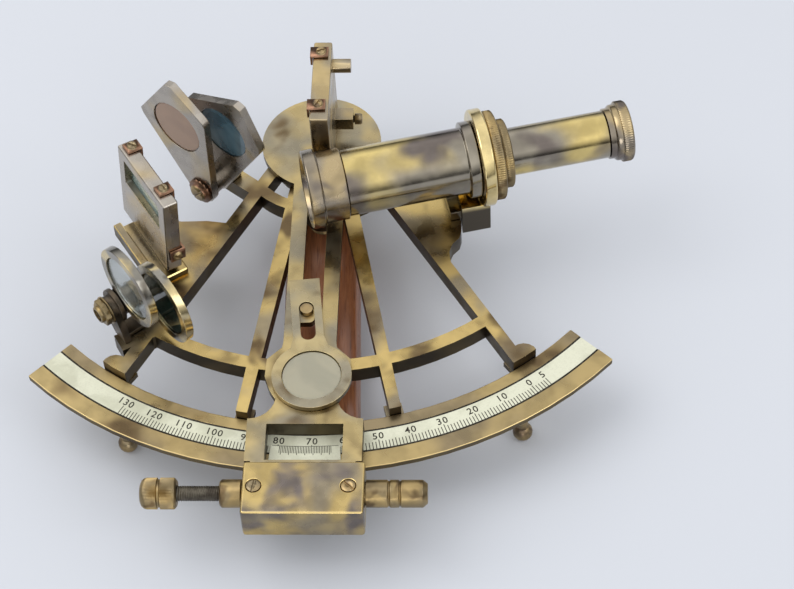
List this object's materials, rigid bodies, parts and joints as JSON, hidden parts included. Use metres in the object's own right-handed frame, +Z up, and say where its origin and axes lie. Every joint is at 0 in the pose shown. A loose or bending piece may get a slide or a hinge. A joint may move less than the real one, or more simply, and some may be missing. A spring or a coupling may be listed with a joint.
{
  "type": "nautical sextant",
  "caption": "Brass nautical sextant: framed limb with a silvered scale, swinging index arm with tangent screw, two mirrors, shades, slide-focus telescope and wooden grip.",
  "frame": {"origin": "on the table, under the middle of the sextant's bounding box, as it stands on its three feet", "axes": "+X to the telescope's eyepiece side, +Y from the limb towards the index mirror's pivot, +Z up from the table"},
  "size_m": [0.2432, 0.2108, 0.0924],
  "materials": {
    "aged_brass": "aged, mottled",
    "bright_brass": "polished",
    "dark_brass": "dark patina",
    "copper_patina": "coppery, worn",
    "silvered_scale": "silvered, satin",
    "steel": "plain",
    "red_wood": "oiled, satin",
    "mirror": "silvered",
    "clear_glass": "polished",
    "rose_glass": "tinted",
    "blue_glass": "tinted",
    "green_glass": "dark tinted",
    "lens_glass": "polished"
  },
  "bodies": {
    "stand": {"frame": "aged_brass", "limb": "aged_brass", "scale_arc": "silvered_scale", "foot_left": "aged_brass", "foot_right": "aged_brass", "foot_rear": "aged_brass", "handle_grip": "red_wood", "handle_post_upper": "aged_brass", "handle_post_lower": "aged_brass", "horizon_mirror_base": "aged_brass", "horizon_mirror_frame": "aged_brass", "horizon_mirror_glass": "clear_glass", "horizon_clip_1": "copper_patina", "horizon_clip_2": "copper_patina", "horizon_clip_3": "copper_patina", "index_shade_bracket": "dark_brass", "index_shade_screw": "copper_patina", "horizon_shade_fork": "dark_brass", "shade_bolt": "steel", "shade_nut": "copper_patina", "telescope_holder": "bright_brass", "main_tube": "aged_brass", "objective_cell": "aged_brass", "objective_lens": "lens_glass", "tube_end_ring": "aged_brass"},
    "arm": {"index_arm": "aged_brass", "index_shaft": "steel", "pivot_nut": "aged_brass", "vernier_plate": "silvered_scale", "box_cover": "aged_brass", "cover_screw_1": "aged_brass", "cover_screw_2": "aged_brass", "screw_collar": "aged_brass", "spring_barrel": "aged_brass", "return_spring": "steel", "index_mirror_frame": "aged_brass", "index_mirror_glass": "mirror", "index_clip_1": "copper_patina", "index_clip_2": "copper_patina"},
    "clamp": {"clamp_block": "dark_brass", "spring_plunger": "steel"},
    "tangent": {"tangent_screw": "dark_brass", "tangent_knob": "aged_brass"},
    "clamp_turn": {"clamp_screw": "aged_brass"},
    "stud": {"magnifier_stud": "dark_brass"},
    "magnifier": {"magnifier_frame": "aged_brass", "magnifier_lens": "lens_glass"},
    "adjuster": {"mirror_adjuster": "copper_patina"},
    "index_shade_front": {"index_shade_1": "aged_brass", "index_shade_1_glass": "rose_glass"},
    "index_shade_rear": {"index_shade_2": "aged_brass", "index_shade_2_glass": "blue_glass"},
    "horizon_shade_outer": {"horizon_shade_1": "aged_brass", "horizon_shade_1_glass": "clear_glass"},
    "horizon_shade_inner": {"horizon_shade_2": "aged_brass", "horizon_shade_2_glass": "green_glass"},
    "eyepiece": {"draw_tube": "aged_brass", "eyepiece": "aged_brass", "eye_lens": "lens_glass"},
    "lock_ring": {"clamp_ring": "aged_brass"}
  },
  "joints": [
    {"name": "index_arm_swing", "type": "hinge", "parent": "stand", "child": "arm", "pos_m": [-0.0068, 0.0805, 0.029], "axis": [0, 0, 1], "range_deg": [-24.5, 38]},
    {"name": "clamp_feed", "type": "slide", "parent": "arm", "child": "clamp", "axis": [0.9995, -0.0332, 0], "range_m": [-0.003, 0.003], "deforming": ["return_spring"]},
    {"name": "tangent_screw_turn", "type": "hinge", "parent": "clamp", "child": "tangent", "pos_m": [-0.0125, -0.09141, 0.032], "axis": [0.9995, -0.0332, 0], "range_deg": [-1200, 1200]},
    {"name": "clamp_screw_turn", "type": "hinge", "parent": "clamp", "child": "clamp_turn", "pos_m": [-0.0125, -0.09141, 0.029], "axis": [0, 0, 1], "range_deg": [-360, 90]},
    {"name": "magnifier_swing", "type": "hinge", "parent": "arm", "child": "stud", "pos_m": [-0.0117, -0.00858, 0.037], "axis": [0, 0, 1], "range_deg": [-12, 12]},
    {"name": "magnifier_slide", "type": "slide", "parent": "stud", "child": "magnifier", "axis": [-0.0758, 0.9971, 0], "range_m": [0, 0.0125]},
    {"name": "mirror_adjuster_turn", "type": "hinge", "parent": "arm", "child": "adjuster", "pos_m": [-0.0067, 0.0835, 0.048], "axis": [0.9995, -0.0332, 0], "range_deg": [-180, 180]},
    {"name": "index_shade_front_swing", "type": "hinge", "parent": "stand", "child": "index_shade_front", "pos_m": [-0.055, 0.0576, 0.037], "axis": [0.6428, 0.766, 0], "range_deg": [-70, 70]},
    {"name": "index_shade_rear_swing", "type": "hinge", "parent": "stand", "child": "index_shade_rear", "pos_m": [-0.055, 0.0576, 0.037], "axis": [0.6428, 0.766, 0], "range_deg": [-100, 25]},
    {"name": "horizon_shade_outer_swing", "type": "hinge", "parent": "stand", "child": "horizon_shade_outer", "pos_m": [-0.0842, -0.008, 0.046], "axis": [0.7986, 0.6018, 0], "range_deg": [-108, 30]},
    {"name": "horizon_shade_inner_swing", "type": "hinge", "parent": "stand", "child": "horizon_shade_inner", "pos_m": [-0.0842, -0.008, 0.046], "axis": [0.7986, 0.6018, 0], "range_deg": [-140, 0]},
    {"name": "telescope_focus", "type": "slide", "parent": "stand", "child": "eyepiece", "axis": [0.9792, 0.2028, 0], "range_m": [-0.03, 0.012]},
    {"name": "lock_ring_turn", "type": "hinge", "parent": "stand", "child": "lock_ring", "pos_m": [-0.0088, 0.036, 0.059], "axis": [0.9792, 0.2028, 0], "range_deg": [-90, 10]}
  ],
  "couplings": [
    {"joint": "tangent_screw_turn", "follows": "clamp_feed", "rad_per_m": 6981.3}
  ]
}
